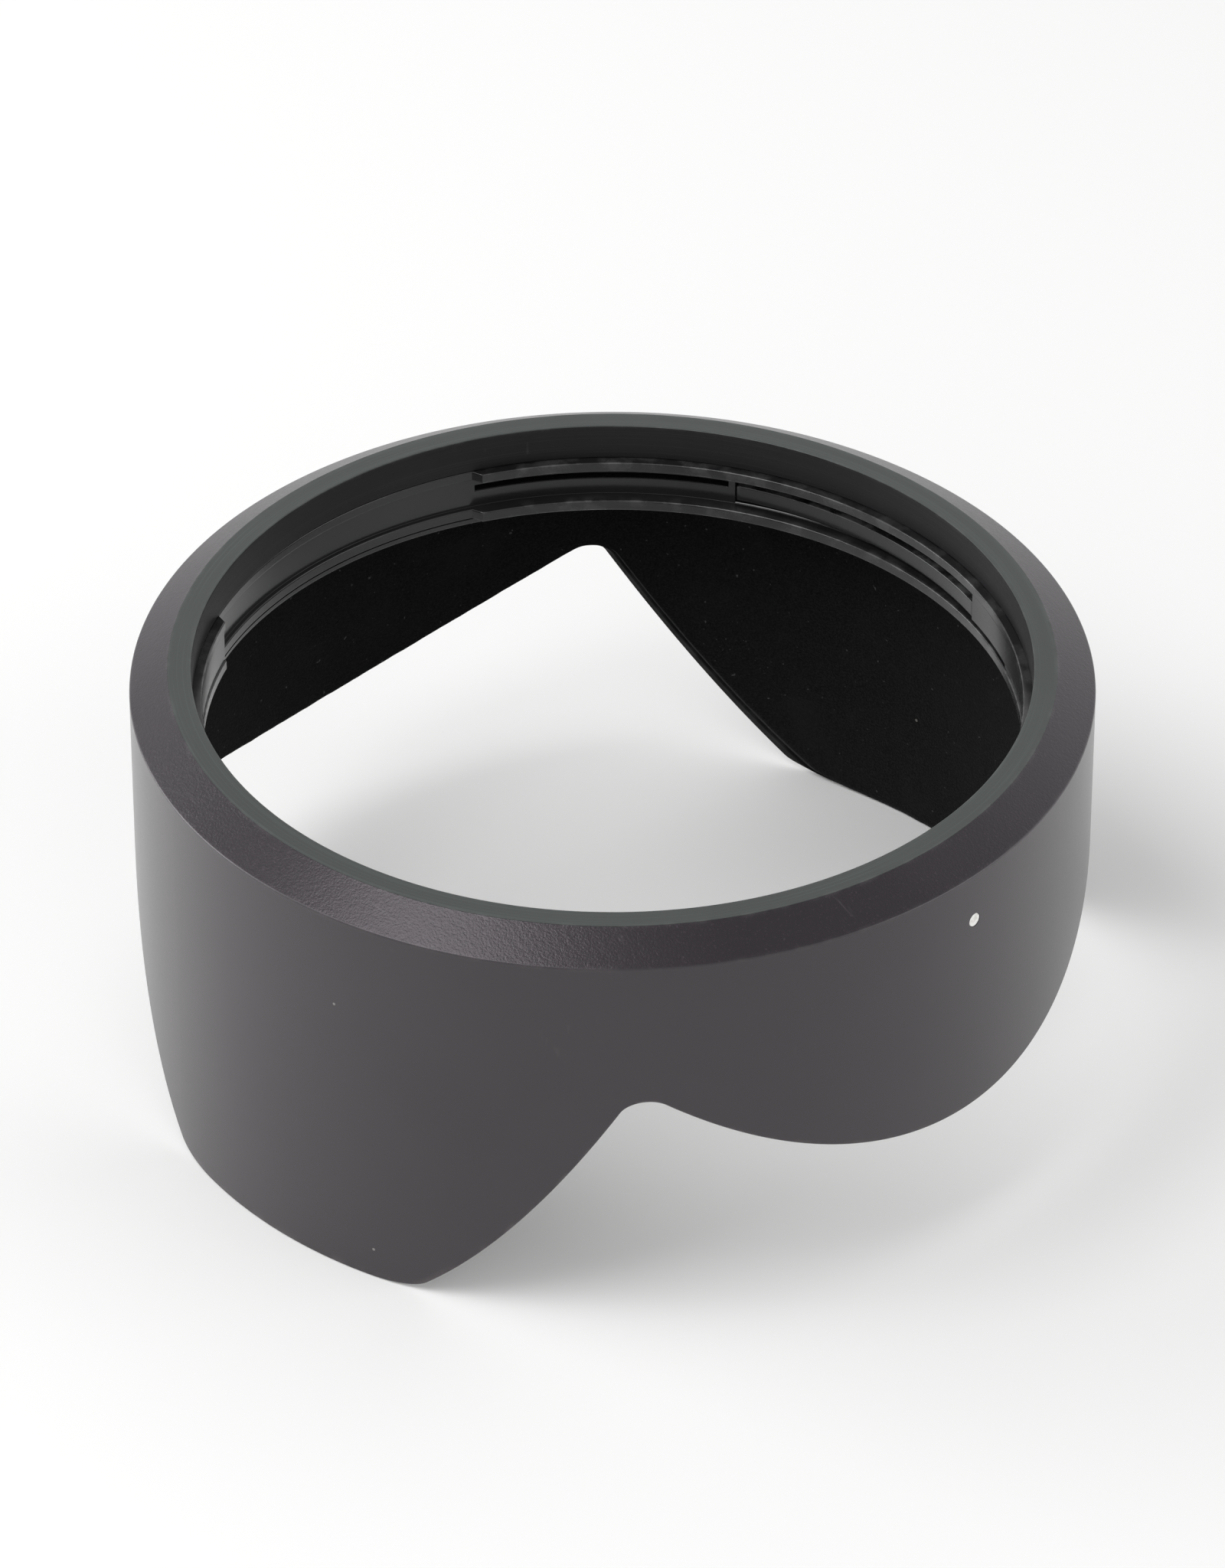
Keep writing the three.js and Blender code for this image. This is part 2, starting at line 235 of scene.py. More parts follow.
def petal_outline():
    """A quarter of the milled outline, seen along X, from the short petal's middle (y = 0) to
    the long petal's flat tip. It is the short petal's arc, whose radius is the tube's own, the
    notch's round top, the straight flank, and the tip's rounded corner. Returns the points and
    the unit vectors that lead from them straight into the metal."""
    arc_middle = np.array([0, HEIGHT - SHORT_PETAL_DEPTH + OUTER_R])
    lean = math.pi / 2 - FLANK_ANGLE
    into_flank = np.array([math.cos(lean), math.sin(lean)])
    along = np.array([-into_flank[1], into_flank[0]])
    foot = np.array([OUTER_R * math.cos(LONG_TIP_HALF_ANGLE), 0.0])
    start = foot - NOTCH_R * into_flank
    from_arc = start - arc_middle
    half_b = from_arc @ along
    rest = from_arc @ from_arc - (OUTER_R + NOTCH_R) ** 2
    notch = start + along * (-half_b - math.sqrt(half_b ** 2 - rest))
    meet = math.atan2(arc_middle[1] - notch[1], notch[0])
    corner = np.array([foot[0] + TIP_CORNER_R * (1 - into_flank[1]) / into_flank[0], TIP_CORNER_R])
    across = np.concatenate([[0], DOT_STEPS,
                             np.linspace(DOT_COLUMNS_END, OUTER_R * math.cos(meet), 44)])
    down = arc_middle[1] - np.sqrt(OUTER_R ** 2 - across ** 2)
    short = np.column_stack([across, down])
    short_in = (arc_middle - short) / OUTER_R
    top, top_in = arc_points(notch, NOTCH_R, math.pi - meet, lean, 25)
    tip, tip_out = arc_points(corner, TIP_CORNER_R, math.pi + lean, 1.5 * math.pi, 21)
    flank = np.linspace(top[-1], tip[0], 25)[1:-1]
    flank_in = np.tile(into_flank, (len(flank), 1))
    return (np.vstack([short, top[1:], flank, tip]),
            np.vstack([short_in, top_in[1:], flank_in, -tip_out]))


def petal_edge(radius, setback, flat_count=28):
    """Angle and height, all round the tube, of the milled edge at one radius, moved into the
    metal by setback: angle = asin(y / radius) on the outline, squeezed to a third where it comes
    near the tip's middle, and even steps on the flat tip. The quarter is mirrored into the rest."""
    points, into = petal_outline()
    moved = points + setback * into
    angle = np.arcsin(np.clip(moved[:, 0] / radius, -1, 1))
    angle = np.where(angle > TIP_CORNER_END, TIP_CORNER_END + (angle - TIP_CORNER_END) / 3, angle)
    flat = np.linspace(angle[-1], math.pi / 2, flat_count + 1)[1:]
    angle = np.concatenate([angle, flat])
    height = np.concatenate([moved[:, 1], np.full(flat_count, setback)])
    angle = np.concatenate([angle, math.pi - angle[-2::-1]])
    height = np.concatenate([height, height[-2::-1]])
    return np.concatenate([angle, angle[1:-1] + math.pi]), np.concatenate([height, height[1:-1]])


def rounded(corners, radii, steps=5, holds=(HOLD,)):
    """An open path of [radius, height] corners, each inner one rounded: the arc runs from its
    tangent point on one side to that on the other, with held points just outside each."""
    corners = np.asarray(corners, float)
    path = [corners[:1]]
    for before, corner, after, radius in zip(corners, corners[1:], corners[2:], radii):
        back = (before - corner) / np.linalg.norm(before - corner)
        on = (after - corner) / np.linalg.norm(after - corner)
        half = math.acos(np.clip(back @ on, -1, 1)) / 2
        reach = radius / math.tan(half)
        middle = corner + (back + on) / np.linalg.norm(back + on) * radius / math.sin(half)
        first = corner + back * reach - middle
        last = corner + on * reach - middle
        turn = np.linspace(0, 1, steps)[:, None]
        bow = math.pi - 2 * half
        arc = middle + (np.sin((1 - turn) * bow) * first + np.sin(turn * bow) * last) / math.sin(bow)
        path += ([[corner + back * (reach + hold)] for hold in holds[::-1]] + [arc]
                 + [[corner + on * (reach + hold)] for hold in holds])
    return np.vstack(path + [corners[-1:]])


def grid_faces(columns, rows, closed_columns=True, closed_rows=False):
    """Faces of a grid whose point (column, row) has the number column * rows + row."""
    column = np.arange(columns if closed_columns else columns - 1)
    row = np.arange(rows if closed_rows else rows - 1)
    column, row = [part.ravel() for part in np.meshgrid(column, row, indexing="ij")]
    next_column, next_row = (column + 1) % columns, (row + 1) % rows
    return np.column_stack([column * rows + row, next_column * rows + row,
                            next_column * rows + next_row, column * rows + next_row])


def around(angle, radius, height):
    """Points from angle, radius and height arrays of one shape."""
    angle, radius, height = np.broadcast_arrays(angle, radius, height)
    return np.stack([radius * np.cos(angle), radius * np.sin(angle), height], axis=-1)


def sink_dot(points):
    """Sinks a round recess into the wall at the index dot. With u along the wall, v up it, and
    m the larger of the two, squares of the grid are pulled onto circles of radius m, fully near
    the dot and fading out at its reach, and points inside the recess move inwards."""
    angle = np.arctan2(points[..., 1], points[..., 0])
    radius = np.hypot(points[..., 0], points[..., 1])
    u, v = angle * OUTER_R, points[..., 2] - DOT_Z
    m = np.maximum(np.abs(u), np.abs(v))
    near = (m < DOT_REACH) & (radius > OUTER_R - 0.3)
    q = np.where(near, np.maximum(np.hypot(u, v), 1e-9), 1)
    pull = np.clip((DOT_REACH - m) / DOT_FADE, 0, 1)
    scale = np.where(near, 1 + pull * (m / q - 1), 1)
    rise = np.clip((m - (DOT_RECESS_R - DOT_LIP[0])) / DOT_LIP[1], 0, 1)
    depth = np.where(near, DOT_DEPTH * (1 - rise * rise * (3 - 2 * rise)), 0)
    sunk = around(angle * np.where(near, scale, 1), radius - depth, 0)
    points[..., 0], points[..., 1] = sunk[..., 0], sunk[..., 1]
    points[..., 2] = np.where(near, DOT_Z + v * scale, points[..., 2])
    return points


def shell_surface():
    """The wall's section, carried round the tube: across the milled edge, up the outer wall,
    over the chamfer and the rim into the bore, under the seat and back down the inner wall.
    Wall rows blend from the edge's own height to level rows. Returns the points and how many
    rows the milled edge has."""
    quarter = np.linspace(0, math.pi / 2, EDGE_STEPS)
    turn_in, turn_up = EDGE_BREAK * (1 - np.sin(quarter)), EDGE_BREAK * (1 - np.cos(quarter))
    profile = np.vstack([[(INNER_R, EDGE_BREAK + HOLD)],
                         np.column_stack([INNER_R + turn_in, turn_up])[::-1],
                         [(INNER_R + EDGE_BREAK + HOLD, 0), (OUTER_R - EDGE_BREAK - HOLD, 0)],
                         np.column_stack([OUTER_R - turn_in, turn_up]),
                         [(OUTER_R, EDGE_BREAK + HOLD)]])
    edge = []
    for radius, setback in profile:
        angle, height = petal_edge(radius, setback)
        edge.append(around(angle, radius, height))
    edge = np.stack(edge, axis=1)
    angle, foot = petal_edge(OUTER_R, EDGE_BREAK + HOLD)
    foot = foot[:, None]
    rising = around(angle[:, None], OUTER_R, foot + (LEVEL_Z - foot) * WALL_SHARES)
    steps = np.append(DOT_STEPS, DOT_REACH)
    dot_rows = np.concatenate([[LEVEL_Z, DOT_Z - DOT_MARGIN], DOT_Z - steps[::-1], [DOT_Z],
                               DOT_Z + steps, [DOT_Z + DOT_MARGIN]])
    upper = rounded([(OUTER_R, dot_rows[-1] + .5), (OUTER_R, CHAMFER_FOOT_Z), (RIM_FACE_R, HEIGHT),
                     (BORE_R, HEIGHT), (BORE_R, SEAT_Z), (INNER_R, SEAT_Z), (INNER_R, LEVEL_Z)],
                    CORNER_RADII, holds=(HOLD, 6 * HOLD, 14 * HOLD))
    turned = np.vstack([np.column_stack([np.full(len(dot_rows), OUTER_R), dot_rows]), upper])
    top = around(angle[:, None], turned[:, 0], turned[:, 1])
    inner_angle, inner_foot = petal_edge(INNER_R, EDGE_BREAK + HOLD)
    inner_foot = inner_foot[:, None]
    blend = WALL_SHARES[::-1]
    falling = around(inner_angle[:, None] + (angle - inner_angle)[:, None] * blend, INNER_R,
                     inner_foot + (LEVEL_Z - inner_foot) * blend)
    return sink_dot(np.concatenate([edge, rising, top, falling], axis=1)), edge.shape[1]


def add_mask(made, name, values):
    """A number on every point of a piece, which its materials read by name."""
    layer = made.data.attributes.new(name, "FLOAT", "POINT")
    layer.data.foreach_set("value", np.asarray(values, np.float32).ravel())


def sharp_edges(made, degrees=30):
    """Shades a piece smooth, with a crease wherever two faces meet more sharply than this."""
    made.data.set_sharp_from_angle(angle=math.radians(degrees))


def group_of(name, inputs, outputs):
    """A new shader node group with sockets from lists of (name, kind, value) and (name, kind)."""
    group = bpy.data.node_groups.new(name, "ShaderNodeTree")
    for label, kind, value in inputs:
        socket = group.interface.new_socket(label, in_out="INPUT", socket_type=kind)
        socket.default_value = value
    for label, kind in outputs:
        group.interface.new_socket(label, in_out="OUTPUT", socket_type=kind)
    return (group, group.nodes, group.links, group.nodes.new("NodeGroupInput"),
            group.nodes.new("NodeGroupOutput"))


def math_node(nodes, links, kind, *values):
    """A Math node whose inputs are numbers or other nodes' outputs."""
    node = nodes.new("ShaderNodeMath")
    node.operation = kind
    for i, value in enumerate(values):
        if isinstance(value, (int, float)):
            node.inputs[i].default_value = value
        else:
            links.new(value, node.inputs[i])
    return node.outputs[0]


def noise_node(nodes, links, place, scale, detail=3.0, roughness=0.55):
    """A Noise texture's value at a place, with scale in waves per metre."""
    node = nodes.new("ShaderNodeTexNoise")
    node.inputs["Scale"].default_value = scale
    node.inputs["Detail"].default_value = detail
    node.inputs["Roughness"].default_value = roughness
    links.new(place, node.inputs["Vector"])
    return node.outputs["Fac"]


def ramp_node(nodes, links, value, low, high, to_low=0.0, to_high=1.0):
    """A smooth step of a value from one pair of numbers to another."""
    node = nodes.new("ShaderNodeMapRange")
    node.interpolation_type = "SMOOTHSTEP"
    links.new(value, node.inputs["Value"])
    node.inputs["From Min"].default_value = low
    node.inputs["From Max"].default_value = high
    node.inputs["To Min"].default_value = to_low
    node.inputs["To Max"].default_value = to_high
    return node.outputs["Result"]


FINE_DIMPLES, COARSE_DIMPLES, CLOUDS = 6500, 2800, 55
WEAR_BREAKS, SCUFF_STREAKS, SCUFF_PATCHES = 420, 90, 75
DUST_CELLS, DUST_RARITY = 260, 0.9
TURNING_PITCH, TURNING_BANDS, TURNING_WANDER = 9000.0, 1500, 0.004
# Gain for the lighter colour of the painted glints and of the turning lines.
GLINT_AND_LINE_GAIN = 2.6
SCUFF_SHARE = 0.12
DUST_SHARE = 0.35
DUST_GREY = (0.5, 0.48, 0.45, 1)


def blast_grain_group():
    """Bead-blast grain: fine dimples for a bump, a sparkle mask of rare specks, which the anodising
    lightens in colour as painted glints and the steel as rubbed spots, and slow cloudy variation."""
    group, nodes, links, inside, outside = group_of(
        "bead_blast_grain", [("Size", "NodeSocketFloat", 1.0)],
        [("Dimples", "NodeSocketFloat"), ("Sparkle", "NodeSocketFloat"), ("Clouds", "NodeSocketFloat")])
    place = nodes.new("ShaderNodeTexCoord").outputs["Object"]
    scaled = nodes.new("ShaderNodeVectorMath")
    scaled.operation = "SCALE"
    links.new(place, scaled.inputs[0])
    links.new(inside.outputs["Size"], scaled.inputs["Scale"])
    fine = noise_node(nodes, links, scaled.outputs[0], FINE_DIMPLES, 2.0)
    coarse = noise_node(nodes, links, scaled.outputs[0], COARSE_DIMPLES, 2.0)
    links.new(math_node(nodes, links, "ADD", math_node(nodes, links, "MULTIPLY", fine, 0.6),
                        math_node(nodes, links, "MULTIPLY", coarse, 0.4)), outside.inputs["Dimples"])
    links.new(ramp_node(nodes, links, fine, 0.62, 0.76), outside.inputs["Sparkle"])
    links.new(noise_node(nodes, links, place, CLOUDS, 4.0), outside.inputs["Clouds"])
    return group


def scuff_group():
    """Wear and handling: a mask that breaks up a piece's edge mask, thin stray scuffs where a
    stretched noise and a patchy one both peak, and rare specks of dust at the middles of cells."""
    group, nodes, links, inside, outside = group_of(
        "wear_and_scuffs", [("Edge", "NodeSocketFloat", 0.0)],
        [("Wear", "NodeSocketFloat"), ("Scuffs", "NodeSocketFloat"), ("Dust", "NodeSocketFloat")])
    place = nodes.new("ShaderNodeTexCoord").outputs["Object"]
    broken = ramp_node(nodes, links, noise_node(nodes, links, place, WEAR_BREAKS, 5.0), 0.42, 0.66)
    links.new(math_node(nodes, links, "MULTIPLY", inside.outputs["Edge"], broken),
              outside.inputs["Wear"])
    turned = nodes.new("ShaderNodeMapping")
    turned.inputs["Rotation"].default_value = (0.5, 0.9, 0.3)
    turned.inputs["Scale"].default_value = (1, 14, 3)
    links.new(place, turned.inputs["Vector"])
    streak = noise_node(nodes, links, turned.outputs[0], SCUFF_STREAKS, 2.0)
    streak = ramp_node(nodes, links, streak, 0.66, 0.74)
    patch = noise_node(nodes, links, place, SCUFF_PATCHES, 1.0)
    patch = ramp_node(nodes, links, patch, 0.58, 0.7)
    links.new(math_node(nodes, links, "MULTIPLY", streak, patch), outside.inputs["Scuffs"])
    cells = nodes.new("ShaderNodeTexVoronoi")
    cells.inputs["Scale"].default_value = DUST_CELLS
    links.new(place, cells.inputs["Vector"])
    speck = ramp_node(nodes, links, cells.outputs["Distance"], 0.035, 0.055, 1.0, 0.0)
    rare = nodes.new("ShaderNodeSeparateColor")
    links.new(cells.outputs["Color"], rare.inputs[0])
    links.new(math_node(nodes, links, "MULTIPLY", speck,
                        math_node(nodes, links, "GREATER_THAN", rare.outputs[0], DUST_RARITY)),
              outside.inputs["Dust"])
    return group


def turning_group():
    """Turning lines: fine rings round the axis and broader bands, both noise of the distance
    from the axis and the height, wandering a little round the tube."""
    group, nodes, links, inside, outside = group_of(
        "turning_lines", [("Pitch", "NodeSocketFloat", TURNING_PITCH)],
        [("Lines", "NodeSocketFloat"), ("Bands", "NodeSocketFloat")])
    place = nodes.new("ShaderNodeTexCoord").outputs["Object"]
    parts = nodes.new("ShaderNodeSeparateXYZ")
    links.new(place, parts.inputs[0])
    flat = nodes.new("ShaderNodeCombineXYZ")
    links.new(parts.outputs[0], flat.inputs[0])
    links.new(parts.outputs[1], flat.inputs[1])
    reach = nodes.new("ShaderNodeVectorMath")
    reach.operation = "LENGTH"
    links.new(flat.outputs[0], reach.inputs[0])
    track = nodes.new("ShaderNodeCombineXYZ")
    links.new(reach.outputs["Value"], track.inputs[0])
    links.new(parts.outputs[2], track.inputs[1])
    slow = nodes.new("ShaderNodeVectorMath")
    slow.operation = "SCALE"
    slow.inputs["Scale"].default_value = TURNING_WANDER
    links.new(flat.outputs[0], slow.inputs[0])
    both = nodes.new("ShaderNodeVectorMath")
    both.operation = "ADD"
    links.new(track.outputs[0], both.inputs[0])
    links.new(slow.outputs[0], both.inputs[1])
    fine = nodes.new("ShaderNodeTexNoise")
    fine.inputs["Detail"].default_value = 2.0
    links.new(both.outputs[0], fine.inputs["Vector"])
    links.new(inside.outputs["Pitch"], fine.inputs["Scale"])
    links.new(fine.outputs["Fac"], outside.inputs["Lines"])
    links.new(noise_node(nodes, links, both.outputs[0], TURNING_BANDS, 3.0), outside.inputs["Bands"])
    return group


GRAIN = blast_grain_group()
SCUFFS = scuff_group()
TURNING = turning_group()


def placed(nodes, group, **values):
    """A node group placed in a material, with its own values."""
    node = nodes.new("ShaderNodeGroup")
    node.node_tree = group
    for label, value in values.items():
        node.inputs[label].default_value = value
    return node


def mixed(nodes, links, factor, first, second):
    """A colour mixed from two colours, each a tuple or another node's output."""
    node = nodes.new("ShaderNodeMix")
    node.data_type = "RGBA"
    links.new(factor, node.inputs["Factor"])
    for socket, value in ((node.inputs["A"], first), (node.inputs["B"], second)):
        if isinstance(value, tuple):
            socket.default_value = value
        else:
            links.new(value, socket)
    return node.outputs["Result"]


def bump_into(shader, nodes, links, height, strength, distance):
    """A Bump node from a height to a shader's Normal, with its distance in metres."""
    bump = nodes.new("ShaderNodeBump")
    bump.inputs["Strength"].default_value = strength
    bump.inputs["Distance"].default_value = distance
    links.new(height, bump.inputs["Height"])
    links.new(bump.outputs["Normal"], shader.inputs["Normal"])


def anodised(name, dark, light, worn, roughness, ior, coat, tint, grain, dimples, sparkle, lines):
    """Black anodising on aluminium: a dye colour that clouds slightly and tints its gloss, blast
    grain or turning lines in colour, rare specks lighter in colour as painted glints, roughness
    and bump, rubbed edges, faint scuffs and dust. On the rim the greenish dye colour and gloss
    tint are a painted reflection."""
    material, nodes, links, output = new_material(name)
    skin = nodes.new("ShaderNodeBsdfPrincipled")
    skin.inputs["IOR"].default_value = ior
    skin.inputs["Coat Weight"].default_value = coat
    skin.inputs["Coat Roughness"].default_value = roughness
    skin.inputs["Specular Tint"].default_value = tint
    blast = placed(nodes, GRAIN, Size=grain)
    ring = placed(nodes, TURNING, Pitch=TURNING_PITCH)
    edge = nodes.new("ShaderNodeAttribute")
    edge.attribute_name = "edge"
    wear = placed(nodes, SCUFFS)
    links.new(edge.outputs["Fac"], wear.inputs["Edge"])
    colour = mixed(nodes, links, ramp_node(nodes, links, blast.outputs["Clouds"], 0.3, 0.7), dark, light)
    # The lighter colour for the turning lines, and for rare specks that are painted glints of the blast
    # facets, strongest on the chamfer.
    bright = tuple(min(1, GLINT_AND_LINE_GAIN * part) for part in light[:3]) + (1,)
    colour = mixed(nodes, links, math_node(nodes, links, "MULTIPLY", blast.outputs["Sparkle"], sparkle),
                   colour, bright)
    colour = mixed(nodes, links, math_node(
        nodes, links, "MULTIPLY", ramp_node(nodes, links, ring.outputs["Lines"], 0.52, 0.72), lines),
        colour, bright)
    marks = math_node(nodes, links, "MAXIMUM", wear.outputs["Wear"],
                      math_node(nodes, links, "MULTIPLY", wear.outputs["Scuffs"], SCUFF_SHARE))
    colour = mixed(nodes, links, marks, colour, worn)
    colour = mixed(nodes, links, math_node(nodes, links, "MULTIPLY", wear.outputs["Dust"], DUST_SHARE),
                   colour, DUST_GREY)
    links.new(colour, skin.inputs["Base Color"])
    spread = math_node(nodes, links, "MULTIPLY_ADD", blast.outputs["Dimples"], 0.16, roughness - 0.08)
    spread = math_node(nodes, links, "MULTIPLY_ADD", ring.outputs["Bands"], 0.2 * lines, spread)
    spread = math_node(nodes, links, "MULTIPLY_ADD", wear.outputs["Wear"], -0.1, spread)
    links.new(spread, skin.inputs["Roughness"])
    relief = math_node(nodes, links, "ADD",
                       math_node(nodes, links, "MULTIPLY", blast.outputs["Dimples"], dimples),
                       math_node(nodes, links, "MULTIPLY", ring.outputs["Lines"], lines))
    bump_into(skin, nodes, links, relief, 0.35, 0.04 * MM)
    links.new(skin.outputs["BSDF"], output.inputs["Surface"])
    return material


FINISHES = (
    {"name": "anodised_wall", "dark": (.0080, .0058, .0076, 1), "light": (.0110, .0082, .0106, 1),
     "worn": (.09, .08, .08, 1), "roughness": 0.38, "ior": 1.30, "coat": 1.0, "tint": (1, .82, 1, 1),
     "grain": 1.2, "dimples": 1.0, "sparkle": 0.10, "lines": 0.03},
    {"name": "anodised_chamfer", "dark": (.0090, .0065, .0090, 1), "light": (.0125, .0095, .0125, 1),
     "worn": (.14, .13, .135, 1), "roughness": 0.30, "ior": 1.57, "coat": 0.0, "tint": (1, .94, 1, 1),
     "grain": 0.7, "dimples": 3.0, "sparkle": 1.0, "lines": 0.06},
    # The rim's greenish colours and gloss tint are a painted reflection of the teal light that level faces
    # catch from above.
    {"name": "anodised_rim", "dark": (.0110, .0145, .0135, 1), "light": (.0150, .0190, .0175, 1),
     "worn": (.14, .15, .145, 1), "roughness": 0.31, "ior": 1.72, "coat": 0.0, "tint": (.94, 1, .98, 1),
     "grain": 1.0, "dimples": 0.5, "sparkle": 0.15, "lines": 0.6},
    {"name": "anodised_bore", "dark": (.0120, .0115, .0120, 1), "light": (.0160, .0150, .0160, 1),
     "worn": (.1, .1, .1, 1), "roughness": 0.46, "ior": 1.26, "coat": 0.0, "tint": (1, 1, 1, 1),
     "grain": 1.0, "dimples": 0.6, "sparkle": 0.06, "lines": 0.25},
    # A near black, almost glossless copy of the anodising on the milled cut face and the bare inner wall:
    # painted shade, so the cut face stays as dark as in shadow.
    {"name": "milled_edge", "dark": (.0030, .0030, .0030, 1), "light": (.0050, .0050, .0050, 1),
     "worn": (.03, .03, .03, 1), "roughness": 0.5, "ior": 1.08, "coat": 0.0, "tint": (1, 1, 1, 1),
     "grain": 1.0, "dimples": 0.6, "sparkle": 0.06, "lines": 0.1})
WALL, CHAMFER, RIM, BORE, MILLED = range(5)


def wear_near(radius, height, corners, reach):
    """A mask that is 1 on the nearest corner's circle and falls off as a bell curve."""
    return np.maximum.reduce([np.exp(-((np.hypot(radius - corner_radius, height - corner_height)
                                        / reach) ** 2)) for corner_radius, corner_height in corners])


def make_shell():
    """The shell with its wear mask and a finish for each face: the wall, the chamfer, the rim, the
    bore, and one for both the milled edge and the bare inner wall."""
    points, milled_rows = shell_surface()
    columns, rows = points.shape[:2]
    points = points.reshape(-1, 3)
    faces = grid_faces(columns, rows, True, True)
    shell = surface_mesh("shell_anodised", points, faces)
    milled = np.tile(np.arange(rows) < milled_rows, columns)
    rim_corners = ((OUTER_R, CHAMFER_FOOT_Z), (RIM_FACE_R, HEIGHT), (BORE_R, HEIGHT))
    rim = wear_near(np.hypot(points[:, 0], points[:, 1]), points[:, 2], rim_corners, WEAR_REACH)
    add_mask(shell, "edge", np.maximum(np.where(milled, MILLED_WEAR, 0), RIM_WEAR * rim))
    centres = points[faces].mean(axis=1)
    out, height = np.hypot(centres[:, 0], centres[:, 1]), centres[:, 2]
    rim_face = (height > HEIGHT - 0.06) & (out < RIM_FACE_R)
    chamfer = (height > CHAMFER_FOOT_Z + HOLD) & (out > RIM_FACE_R - HOLD) & ~rim_face
    bore = (out < INNER_R - 0.2) & ~rim_face & ~chamfer
    milled_face = np.tile(np.arange(rows) < milled_rows - EDGE_STEPS - 1, columns)
    inside = (out < INNER_R + 0.1) & (height < SEAT_Z)
    zone = np.select([milled_face | inside, chamfer, rim_face, bore], [MILLED, CHAMFER, RIM, BORE], WALL)
    for finish in FINISHES:
        shell.data.materials.append(anodised(**finish))
    shell.data.polygons.foreach_set("material_index", zone.astype(np.int32))
    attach(shell, "hood")
    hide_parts("hood_shell")


make_shell()


# --- Index dot ------------------------------------------------------------------------------
# White enamel dropped into the shallow round recess on one short petal. It dries with a low
# meniscus at its edge.
PAINT_R = DOT_RECESS_R - 0.055
PAINT_BELOW_WALL = 0.05
PAINT_DIP = 0.03
PAINT_FOOT_GAP = 0.02
ENAMEL_WHITE = (.80, .80, .78, 1)
ENAMEL_STAIN = (.62, .61, .57, 1)


def make_dot():
    """A disc of rings round its middle, laid on the wall's cylinder. Its face stands just below
    the wall and dips towards its middle by one less the square of the distance from it. The last
    ring is its side."""
    ring = np.array([1e-3, .2, .4, .6, .8, .92, 1, 1]) * PAINT_R
    turn = np.linspace(0, 2 * math.pi, 49)[:-1]
    u, v = ring * np.cos(turn)[:, None], ring * np.sin(turn)[:, None]
    dip = PAINT_BELOW_WALL + PAINT_DIP * (1 - (ring / PAINT_R) ** 2)
    dip[-1] = DOT_DEPTH - PAINT_FOOT_GAP
    points = around(u / OUTER_R, OUTER_R - dip[None, :], DOT_Z + v)
    columns, rows = points.shape[:2]
    dot = surface_mesh("index_dot_paint", points.reshape(-1, 3), grid_faces(columns, rows)[:, ::-1])
    material, nodes, links, output = new_material("white_enamel")
    paint = nodes.new("ShaderNodeBsdfPrincipled")
    paint.inputs["Roughness"].default_value = 0.45
    place = nodes.new("ShaderNodeTexCoord").outputs["Object"]
    stain = ramp_node(nodes, links, noise_node(nodes, links, place, 2200, 4.0), 0.4, 0.75)
    links.new(mixed(nodes, links, stain, ENAMEL_WHITE, ENAMEL_STAIN), paint.inputs["Base Color"])
    bump_into(paint, nodes, links, noise_node(nodes, links, place, 5000, 2.0), 0.4, 0.03 * MM)
    links.new(paint.outputs["BSDF"], output.inputs["Surface"])
    dot.data.materials.append(material)
    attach(dot, "hood")
    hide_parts("index_dot")


make_dot()


# --- Flock lining ---------------------------------------------------------------------------
# A strip of black velour glued round the inside, cut a hair short of the petal edges, with its
# ends butted behind the index dot. The short pile scatters light only at a glancing angle.
GLUE_THICKNESS = 0.03
VELOUR_THICKNESS = 0.3
LINING_OUTER_R = INNER_R - GLUE_THICKNESS
LINING_INNER_R = LINING_OUTER_R - VELOUR_THICKNESS
LINING_TOP_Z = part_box("flock_lining")[1][2] / MM
LINING_SETBACK = 0.15
LINING_SEAM = 0.04
CUT_RISE = 0.03
CUT_WANDER = 0.02
FACE_WANDER = 0.012
PILE_DARK = (.0022, .0022, .0025, 1)
PILE_LIGHT = (.008, .0078, .0082, 1)
PILE_BRUSHED = (.009, .0088, .0088, 1)
FLUFF_GREY = (.045, .044, .046, 1)
LINT_GREY = (.2, .19, .18, 1)
LINT_SHARE = 0.6


def lining_surface():
    """The milled edge's outline at the lining's two radii, raised to a level top. The face and
    the cut edge wander by a few hundredths, as the sum of two sines of the angle."""
    share = np.array([0, .01, .03, .08, .16, .26, .36, .46, .56, .66, .76, .86, .94, .98, 1])
    skins = []
    for radius, wander in ((LINING_OUTER_R, 0), (LINING_INNER_R, FACE_WANDER)):
        angle, foot = petal_edge(radius, LINING_SETBACK)
        seam = LINING_SEAM / 2 / radius
        angle = np.concatenate([[seam], angle[1:], [2 * math.pi - seam]])
        foot = np.concatenate([foot, foot[:1]])
        foot = foot + CUT_RISE + CUT_WANDER * (np.sin(67 * angle) + np.sin(171 * angle + 1)) / 2
        wave = np.sin(41 * angle[:, None] + 9 * share) + np.sin(97 * angle[:, None] - 14 * share)
        foot = foot[:, None]
        skins.append(around(angle[:, None], radius - wander * wave, foot + (LINING_TOP_Z - foot) * share))
    return np.concatenate([skins[0], skins[1][:, ::-1]], axis=1)


